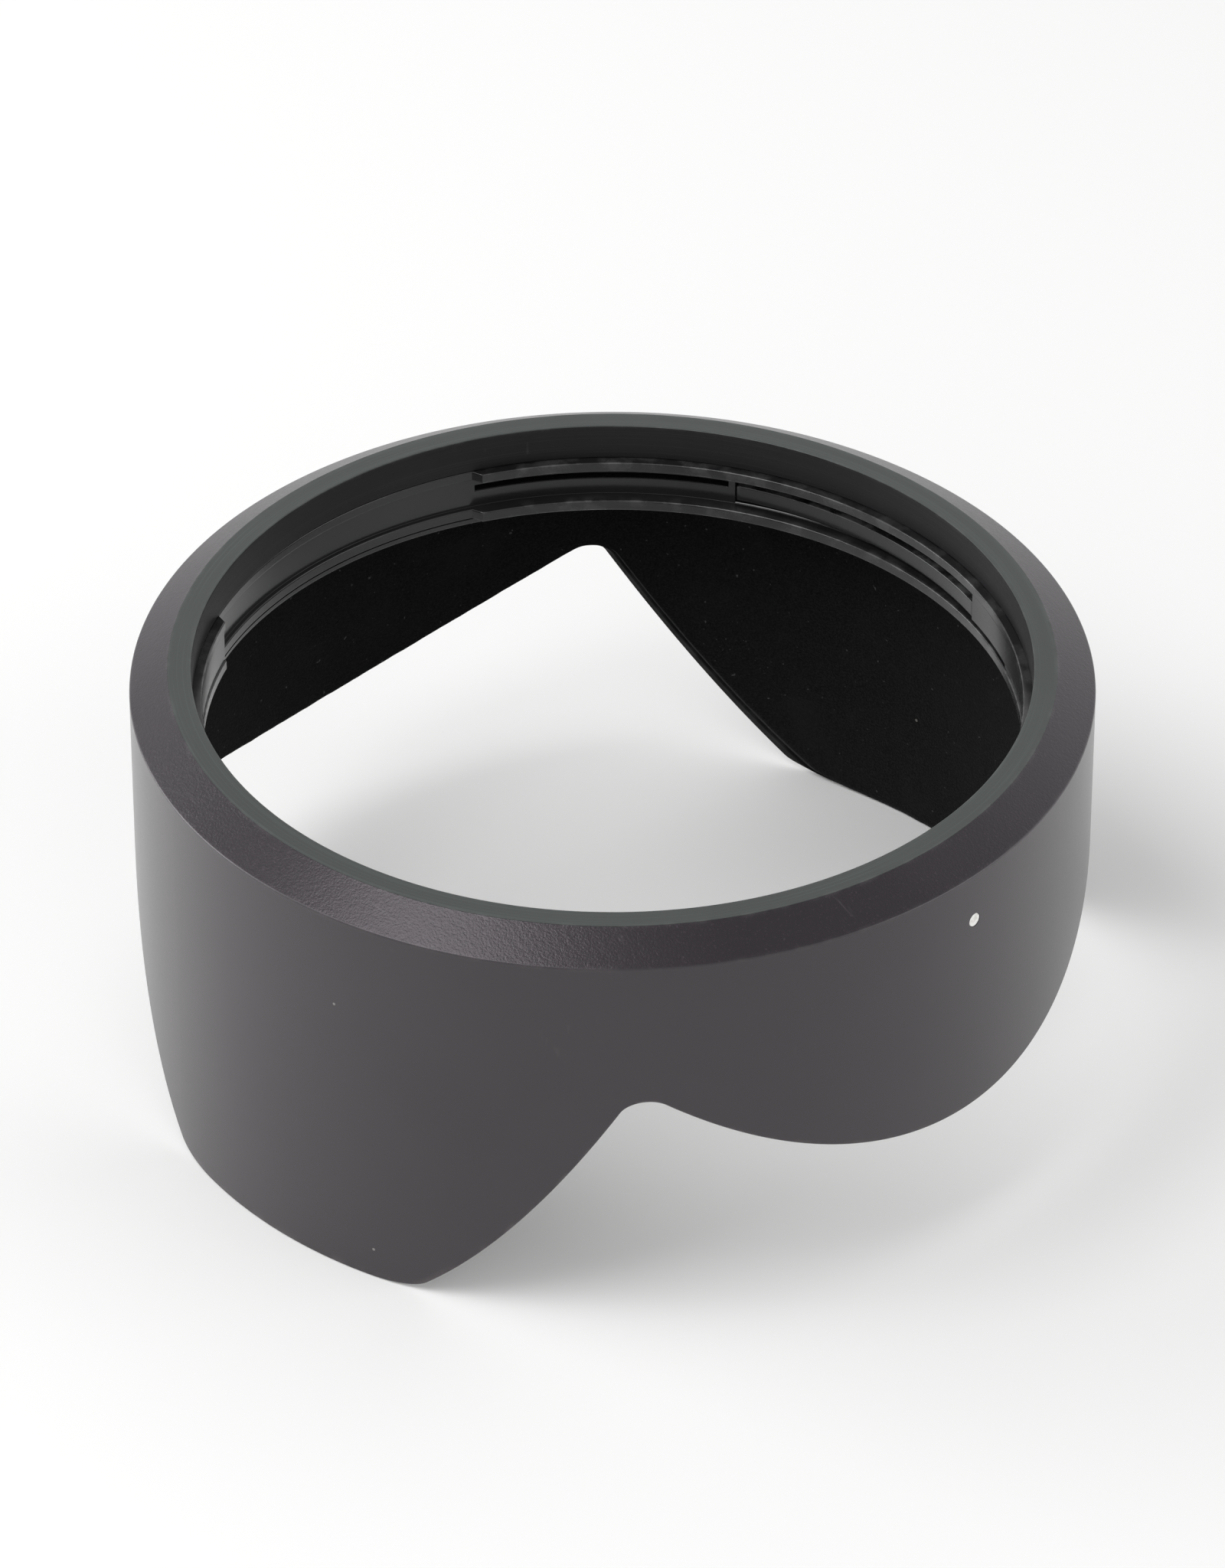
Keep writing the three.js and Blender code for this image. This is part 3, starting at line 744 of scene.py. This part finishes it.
def make_lining():
    """Both skins of the lining, with a flat cap across each end, in black velour."""
    points = lining_surface()
    columns, rows = points.shape[:2]
    faces = grid_faces(columns, rows, False, True)
    half = rows // 2
    low = np.arange(half - 1)
    caps = [np.column_stack([low, low + 1, rows - 2 - low, rows - 1 - low]),
            (columns - 1) * rows + np.column_stack([rows - 1 - low, rows - 2 - low, low + 1, low])]
    lining = surface_mesh("flock_velour", points.reshape(-1, 3), np.vstack([faces] + caps))
    material, nodes, links, output = new_material("black_velour")
    pile = nodes.new("ShaderNodeBsdfPrincipled")
    pile.inputs["Roughness"].default_value = 0.95
    pile.inputs["Specular IOR Level"].default_value = 0.05
    pile.inputs["Sheen Weight"].default_value = 0.04
    pile.inputs["Sheen Roughness"].default_value = 0.5
    place = nodes.new("ShaderNodeTexCoord").outputs["Object"]
    fibre = noise_node(nodes, links, place, 5200, 3.0)
    nap = noise_node(nodes, links, place, 130, 4.0)
    colour = mixed(nodes, links, ramp_node(nodes, links, fibre, 0.35, 0.7),
                   PILE_DARK, PILE_LIGHT)
    brushed = ramp_node(nodes, links, nap, 0.5, 0.75, 0.0, 0.5)
    colour = mixed(nodes, links, brushed, colour, PILE_BRUSHED)
    fluff = ramp_node(nodes, links, noise_node(nodes, links, place, 1900, 1.0), 0.73, 0.80)
    colour = mixed(nodes, links, fluff, colour, FLUFF_GREY)
    lint = math_node(nodes, links, "MULTIPLY", placed(nodes, SCUFFS).outputs["Dust"], LINT_SHARE)
    colour = mixed(nodes, links, lint, colour, LINT_GREY)
    links.new(colour, pile.inputs["Base Color"])
    bump_into(pile, nodes, links, fibre, 0.8, 0.1 * MM)
    links.new(pile.outputs["BSDF"], output.inputs["Surface"])
    lining.data.materials.append(material)
    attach(lining, "hood")
    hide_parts("flock_lining")


make_lining()


# --- Bayonet ring ---------------------------------------------------------------------------
# A moulded ring of black glass-filled plastic under the rim. Its flange and lip leave a channel
# for the lens's lugs, open at two entry gaps, with a window for a click strip, a relief slot
# and a stop block in each half.
RING_LOW, RING_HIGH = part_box("bayonet_ring")
RING_TOP_Z, RING_FOOT_Z = RING_HIGH[2] / MM, RING_LOW[2] / MM
FLANGE_R = INNER_R - 0.04
LUG_R = BORE_R - 0.95
FLANGE_FOOT_Z = RING_TOP_Z - 1.05
WEB_R = BORE_R + 0.5
WEB_BACK_R = WEB_R + 1.1
LIP_FOOT_Z = RING_FOOT_Z + 0.65
LIP_TOP_Z = LIP_FOOT_Z + 1.15
SLOT_WIDTH = 0.4
WINDOW_TOP_Z = FLANGE_FOOT_Z - 1
RELIEF_FOOT_Z = WINDOW_TOP_Z - 0.78
STRIP_FOOT_Z = LIP_TOP_Z + SLOT_WIDTH
ENTRY_HALF_ANGLE = 25.6
LUG_MIDDLE = 89
STRIP_MIDDLE = LUG_MIDDLE + 4
STRIP_HALF_ANGLE = 22.5
STRIP_END_GAP = math.degrees(0.15 / WEB_R)
LUG_HALF_ANGLE = 90 - ENTRY_HALF_ANGLE
RAMP_ANGLE = 1.15
STOP_SETBACK = 0.15
STOP_SLIT_ANGLE = 12
BRIDGE_ANGLE = 0.9
RELIEF_END_ANGLE = 0.6
OPENING_CHAMFER = 0.08
STEP_ANGLE = 0.04
COLUMN_ANGLE = 0.75
RING_WEAR_REACH = 0.16
NO_GAP = 1e-6
PLASTIC_DUST = (.3, .29, .27, 1)
PLASTIC_DUST_SHARE = 0.3
PLASTIC_IOR = 1.56


def ring_angles():
    """Angles in degrees from a lug's middle: even steps, with fine ones at the ramps, the stop
    block's end, the window, the bridge and the relief slot. Returns them with the angles of the
    window's two ends."""
    free = STRIP_MIDDLE - LUG_MIDDLE - STRIP_HALF_ANGLE - STRIP_END_GAP
    root = STRIP_MIDDLE - LUG_MIDDLE + STRIP_HALF_ANGLE + STRIP_END_GAP
    near = np.array([-3, -1, 0, 1, 3]) * STEP_ANGLE
    marks = [free, root, root + BRIDGE_ANGLE, LUG_HALF_ANGLE - RELIEF_END_ANGLE,
             free - STOP_SLIT_ANGLE]
    ramps = np.linspace(0, RAMP_ANGLE, 5)
    fine = np.concatenate([near + mark for mark in marks]
                          + [LUG_HALF_ANGLE - ramps, ramps - LUG_HALF_ANGLE]
                          + [[LUG_HALF_ANGLE + 0.1, -LUG_HALF_ANGLE - 0.1]])
    even = np.arange(-90, 90, COLUMN_ANGLE)
    even = even[np.abs(even[:, None] - fine).min(axis=1) > 0.14]
    return np.sort(np.concatenate([even, fine])), free, root


def ring_section():
    """The ring's closed section of rounded corners, as rows of radius and height: down the
    flange's edge and the web's face, round the lip and the foot, and up the web's back. Returns it
    with the heights that the web's face and back share, and their row numbers on each."""
    heights = np.array([WINDOW_TOP_Z + 0.3, WINDOW_TOP_Z, (WINDOW_TOP_Z + RELIEF_FOOT_Z) / 2,
                        RELIEF_FOOT_Z, RELIEF_FOOT_Z - 0.15, (RELIEF_FOOT_Z + STRIP_FOOT_Z) / 2,
                        STRIP_FOOT_Z + 0.04, STRIP_FOOT_Z, (STRIP_FOOT_Z + LIP_TOP_Z) / 2,
                        LIP_TOP_Z + 0.06])
    foot_r = BORE_R + 0.1
    upper = rounded([(FLANGE_R, RING_TOP_Z), (LUG_R, RING_TOP_Z), (LUG_R, FLANGE_FOOT_Z),
                     (WEB_R, FLANGE_FOOT_Z), (WEB_R, heights[0])], [.12, .14, .08])
    lower = rounded([(WEB_R, heights[-1]), (WEB_R, LIP_TOP_Z), (LUG_R, LIP_TOP_Z), (LUG_R, LIP_FOOT_Z),
                     (foot_r, LIP_FOOT_Z), (foot_r, RING_FOOT_Z), (WEB_BACK_R, RING_FOOT_Z),
                     (WEB_BACK_R, heights[-1])], [.03, .14, .14, .08, .1, .12])
    close = rounded([(WEB_BACK_R, heights[0]), (WEB_BACK_R, FLANGE_FOOT_Z), (FLANGE_R, FLANGE_FOOT_Z),
                     (FLANGE_R, RING_TOP_Z - .1)], [.1, .1])
    between = heights[1:-1]
    section = np.vstack([upper, np.column_stack([np.full(len(between), WEB_R), between]), lower,
                         np.column_stack([np.full(len(between), WEB_BACK_R), between[::-1]]), close])
    web = np.arange(len(heights))
    face_rows = len(upper) - 1 + web
    back_rows = len(upper) + len(between) + len(lower) + len(between) - web
    return section, heights, face_rows, back_rows


def radii_round_ring(angle, free, section):
    """The section's radii at every angle. The flange and the lip move out to the bore over a
    ramp at each lug's end, and the web moves in at the stop block, but not below its slit."""
    radius, height = section.T
    into = np.clip((np.abs(angle) - (LUG_HALF_ANGLE - RAMP_ANGLE)) / RAMP_ANGLE, 0, 1)[:, None]
    slit = np.clip((angle - (free - STOP_SLIT_ANGLE)) / STEP_ANGLE, 0, 1)[:, None]
    angle = angle[:, None]
    stop = np.clip((free - angle) / STEP_ANGLE, 0, 1) * (1 - np.clip(into * 3, 0, 1)) * (angle < 0)
    lug_row = radius < LUG_R + 0.25
    web_row = (radius > LUG_R + 0.3) & (radius < WEB_R + 0.01) & (height > LIP_TOP_Z - 0.001)
    below_slit = web_row & (height < STRIP_FOOT_Z + 0.02)
    block_r = LUG_R + STOP_SETBACK
    moved_in = radius - (WEB_R - block_r) * stop * np.where(below_slit, 1 - slit, 1)
    moved_out = radius + np.where(lug_row, BORE_R - LUG_R, 0) * into
    return np.where(web_row, np.maximum(moved_in, block_r), moved_out)


def web_openings(angle, free, root, heights):
    """Which cells of the web are open: the window between the strip's ends, as far down as the
    lip, and the relief slot from the bridge to the lug's end."""
    following = np.append(angle[1:], 90)[:, None]
    angle = angle[:, None]
    below_top = heights[:-1] <= WINDOW_TOP_Z + NO_GAP
    window = (angle >= free - NO_GAP) & (following <= root + NO_GAP) & below_top
    relief = ((angle >= root + BRIDGE_ANGLE - NO_GAP)
              & (following <= LUG_HALF_ANGLE - RELIEF_END_ANGLE + NO_GAP)
              & below_top & (heights[1:] >= RELIEF_FOOT_Z - NO_GAP))
    return window | relief


def ring_surface():
    """The section carried round the axis. Cells of the web inside the window and the slot are
    left out, and their borders are joined through the web by two inner layers of points, which
    are drawn back from the opening by a small chamfer at the web's face and back."""
    angle, free, root = ring_angles()
    section, heights, face_rows, back_rows = ring_section()
    radii = radii_round_ring(angle, free, section)
    gone = np.tile(web_openings(angle, free, root, heights), (2, 1))
    turn = np.radians(np.concatenate([angle + LUG_MIDDLE, angle + LUG_MIDDLE + 180]))[:, None]
    grid = around(turn, np.tile(radii, (2, 1)), section[:, 1])
    columns, rows = grid.shape[:2]
    keep = np.ones((columns, rows), bool)
    keep[:, face_rows[:-1]] = ~gone
    keep[:, back_rows[1:]] = ~gone
    here = np.pad(gone, ((0, 0), (1, 1))).astype(int)
    before = np.roll(here, 1, axis=0)
    turn_by = np.sign(here[:, 1:] + here[:, :-1] - before[:, 1:] - before[:, :-1])
    drop_by = np.sign(here[:, :-1] + before[:, :-1] - here[:, 1:] - before[:, 1:])
    turn = turn + turn_by * OPENING_CHAMFER / WEB_R
    height = heights + drop_by * OPENING_CHAMFER
    inner = around(turn, WEB_R + OPENING_CHAMFER, height)
    outer = around(turn, WEB_BACK_R - OPENING_CHAMFER, height)
    numbers = np.arange(columns * rows).reshape(columns, rows)
    inner_numbers = columns * rows + np.arange(columns * len(heights)).reshape(columns, -1)
    layers = [numbers[:, face_rows], inner_numbers, inner_numbers + inner_numbers.size,
              numbers[:, back_rows]]
    faces = [grid_faces(columns, rows, True, True)[keep.ravel()]]
    level = here[:, 1:] - here[:, :-1]
    upright = (here - before)[:, 1:-1]
    for near, far in zip(layers, layers[1:]):
        for sign in (1, -1):
            c, k = np.nonzero(level == sign)
            n = (c + 1) % columns
            faces.append(np.column_stack([near[c, k], near[n, k], far[n, k], far[c, k]])[:, ::sign])
            c, k = np.nonzero(upright == sign)
            faces.append(np.column_stack([near[c, k], far[c, k], far[c, k + 1],
                                          near[c, k + 1]])[:, ::sign])
    points = np.vstack([grid.reshape(-1, 3), inner.reshape(-1, 3), outer.reshape(-1, 3)])
    used, faces = np.unique(np.vstack(faces), return_inverse=True)
    return points[used], faces.reshape(-1, 4)


def moulded_black(name, dark, light, roughness, worn):
    """Satin black moulded plastic: fine texture in colour, roughness and bump, with edges
    polished by use."""
    material, nodes, links, output = new_material(name)
    skin = nodes.new("ShaderNodeBsdfPrincipled")
    skin.inputs["IOR"].default_value = PLASTIC_IOR
    blast = placed(nodes, GRAIN, Size=0.8)
    edge = nodes.new("ShaderNodeAttribute")
    edge.attribute_name = "edge"
    wear = placed(nodes, SCUFFS)
    links.new(edge.outputs["Fac"], wear.inputs["Edge"])
    colour = mixed(nodes, links, ramp_node(nodes, links, blast.outputs["Clouds"], 0.3, 0.7), dark, light)
    colour = mixed(nodes, links, wear.outputs["Wear"], colour, worn)
    dust = math_node(nodes, links, "MULTIPLY", wear.outputs["Dust"], PLASTIC_DUST_SHARE)
    colour = mixed(nodes, links, dust, colour, PLASTIC_DUST)
    links.new(colour, skin.inputs["Base Color"])
    spread = math_node(nodes, links, "MULTIPLY_ADD", blast.outputs["Dimples"], 0.06, roughness - 0.03)
    links.new(math_node(nodes, links, "MULTIPLY_ADD", wear.outputs["Wear"], -0.08, spread),
              skin.inputs["Roughness"])
    bump_into(skin, nodes, links, blast.outputs["Dimples"], 0.2, 0.01 * MM)
    links.new(skin.outputs["BSDF"], output.inputs["Surface"])
    return material


RING_BLACK = moulded_black("ring_plastic", (.0080, .0078, .0085, 1), (.0120, .0117, .0125, 1), 0.21,
                           (.09, .09, .09, 1))


def make_ring():
    """The ring, worn at the edges of its flange and lip, with creases at its sharp corners."""
    points, faces = ring_surface()
    ring = surface_mesh("ring_moulded", points, faces)
    corners = [(LUG_R, height) for height in (RING_TOP_Z, FLANGE_FOOT_Z, LIP_TOP_Z, LIP_FOOT_Z)]
    add_mask(ring, "edge", wear_near(np.hypot(points[:, 0], points[:, 1]), points[:, 2], corners,
                                     RING_WEAR_REACH))
    sharp_edges(ring)
    ring.data.materials.append(RING_BLACK)
    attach(ring, "hood")
    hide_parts("bayonet_ring")


make_ring()


# --- Click strips ---------------------------------------------------------------------------
# A springy tongue of the ring's own plastic in each window. Its root is flush with the web, and
# its free end bows into the channel, where the lens's lug pushes it back out as it turns past.
STRIP_THICKNESS = 0.8
STRIP_BOW = 1.1
STRIP_LOW_Z, STRIP_HIGH_Z = STRIP_FOOT_Z, WINDOW_TOP_Z - SLOT_WIDTH
STRIP_CORNER_R = 0.12
END_STEPS = np.array([0, .0012, .003])
END_TUCKS = np.array([.12, .035, 0])


def strip_surface(side):
    """A rounded section carried from the free end to the root. The face's radius falls short of
    the web by half the bow times one less the sine of the angle from the middle over that of
    the end, so it is flush at the root. The ends are drawn in over three steps and closed."""
    half = math.radians(STRIP_HALF_ANGLE)
    turn = np.concatenate([END_STEPS - half, np.linspace(-half, half, 61)[1:-1],
                           half - END_STEPS[::-1]])
    tuck = np.concatenate([END_TUCKS, np.zeros(len(turn) - 2 * len(END_TUCKS)), END_TUCKS[::-1]])
    face = WEB_R - STRIP_BOW / 2 * (1 - np.sin(turn) / math.sin(half))
    middle = np.array([STRIP_THICKNESS / 2, (STRIP_LOW_Z + STRIP_HIGH_Z) / 2])
    path = rounded([(0, middle[1]), (0, STRIP_HIGH_Z), (STRIP_THICKNESS, STRIP_HIGH_Z),
                    (STRIP_THICKNESS, STRIP_LOW_Z), (0, STRIP_LOW_Z), (0, middle[1])],
                   [STRIP_CORNER_R] * 4)[:-1]
    outward = path - middle
    inset = outward - np.sign(outward) * np.minimum(np.abs(outward), tuck[:, None, None])
    angle = np.radians(STRIP_MIDDLE + side) + turn
    points = around(angle[:, None], face[:, None] + middle[0] + inset[..., 0], middle[1] + inset[..., 1])
    columns, rows = points.shape[:2]
    middles = around(angle[[0, -1]], face[[0, -1]] + middle[0], middle[1])
    ring = np.arange(rows)
    close = (ring + 1) % rows
    last = (columns - 1) * rows
    total = columns * rows
    caps = np.vstack([np.column_stack([np.full(rows, total), ring, close]),
                      np.column_stack([np.full(rows, total + 1), last + close, last + ring])])
    return np.vstack([points.reshape(-1, 3), middles]), grid_faces(columns, rows, False, True), caps


def make_strips():
    """Both tongues, half a turn apart, each on its own moving body, worn at the top and foot."""
    for name, body, side in (("click_strip_far", "far_strip", 0), ("click_strip_near", "near_strip", 180)):
        points, quads, caps = strip_surface(side)
        mesh = bpy.data.meshes.new(name + "_tongue")
        mesh.from_pydata((points * MM).tolist(), [], quads[:, ::-1].tolist() + caps[:, ::-1].tolist())
        mesh.polygons.foreach_set("use_smooth", np.full(len(mesh.polygons), True))
        strip = bpy.data.objects.new(name + "_tongue", mesh)
        bpy.context.scene.collection.objects.link(strip)
        middle, half = (STRIP_LOW_Z + STRIP_HIGH_Z) / 2, (STRIP_HIGH_Z - STRIP_LOW_Z) / 2
        off = np.abs(points[:, 2] - middle) / half
        add_mask(strip, "edge", np.clip((off - 0.85) / 0.15, 0, 1) * 0.8)
        sharp_edges(strip, 40)
        mesh.materials.append(RING_BLACK)
        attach(strip, body)
        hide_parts(name)


make_strips()


# --- Ring screws ----------------------------------------------------------------------------
# Four blackened steel cheese-head screws, driven up through the flange into the rim from the
# petal side. Their slots face down into the gap between the web and the lining.
HEAD_R = 1.4
HEAD_HEIGHT = 0.8
SHANK_R = 0.8
SLOT_HALF_WIDTH = 0.175
SLOT_DEPTH = 0.35
SLOT_SNAP = 0.035
STEEL_DARK = (.035, .035, .038, 1)
STEEL_LIGHT = (.06, .058, .06, 1)
STEEL_RUBBED = (.25, .24, .23, 1)
AXIS_HOLE_R = 0.001


def screw_surface(low_z, top_z, middle):
    """Rings round the screw's axis, from the slotted foot of the head over its rounded rim to the
    shank's tip. Points within the slot's half width of the middle line lie on its floor."""
    profile = rounded([(AXIS_HOLE_R, low_z), (HEAD_R, low_z), (HEAD_R, low_z + HEAD_HEIGHT),
                       (SHANK_R, low_z + HEAD_HEIGHT), (SHANK_R, top_z), (AXIS_HOLE_R, top_z)],
                      [.16, .05, .03, .12], 4)
    foot_r = AXIS_HOLE_R + (HEAD_R - .25) * np.linspace(0.05, 1, 14)[:-1]
    foot = np.column_stack([foot_r, np.full(len(foot_r), low_z)])
    profile = np.vstack([profile[:1], foot, profile[1:]])
    turn = np.linspace(0, 2 * math.pi, 97)[:-1, None]
    x, y = profile[:, 0] * np.cos(turn), profile[:, 0] * np.sin(turn)
    on_head = profile[:, 1] < low_z + SLOT_DEPTH
    in_slot = (np.abs(y) < SLOT_HALF_WIDTH) & on_head
    edge = np.abs(np.abs(y) - SLOT_HALF_WIDTH) < SLOT_SNAP
    y = np.where(edge & on_head, np.sign(y) * SLOT_HALF_WIDTH, y)
    z = np.where(in_slot, low_z + SLOT_DEPTH, profile[:, 1])
    return np.stack([middle[0] + x, middle[1] + y, z], axis=-1)


def blackened_steel():
    """Black oxide on steel: near black, half metallic, with rubbed high spots."""
    material, nodes, links, output = new_material("blackened_steel")
    skin = nodes.new("ShaderNodeBsdfPrincipled")
    skin.inputs["Metallic"].default_value = 0.7
    blast = placed(nodes, GRAIN, Size=1.2)
    colour = mixed(nodes, links, ramp_node(nodes, links, blast.outputs["Clouds"], 0.35, 0.65),
                   STEEL_DARK, STEEL_LIGHT)
    rubbed = math_node(nodes, links, "MULTIPLY", blast.outputs["Sparkle"], 0.4)
    colour = mixed(nodes, links, rubbed, colour, STEEL_RUBBED)
    links.new(colour, skin.inputs["Base Color"])
    links.new(math_node(nodes, links, "MULTIPLY_ADD", blast.outputs["Dimples"], 0.2, 0.25),
              skin.inputs["Roughness"])
    links.new(skin.outputs["BSDF"], output.inputs["Surface"])
    return material


def make_screws():
    """A screw that fills the box of each of the four CAD screws."""
    steel = blackened_steel()
    for i in range(4):
        low, high = [np.array(corner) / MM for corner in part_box(f"ring_screw_{i + 1}")]
        points = screw_surface(low[2], high[2], (low + high)[:2] / 2)
        columns, rows = points.shape[:2]
        screw = surface_mesh(f"screw_head_{i + 1}", points.reshape(-1, 3), grid_faces(columns, rows))
        sharp_edges(screw, 35)
        screw.data.materials.append(steel)
        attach(screw, "hood")
        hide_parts(f"ring_screw_{i + 1}")


make_screws()
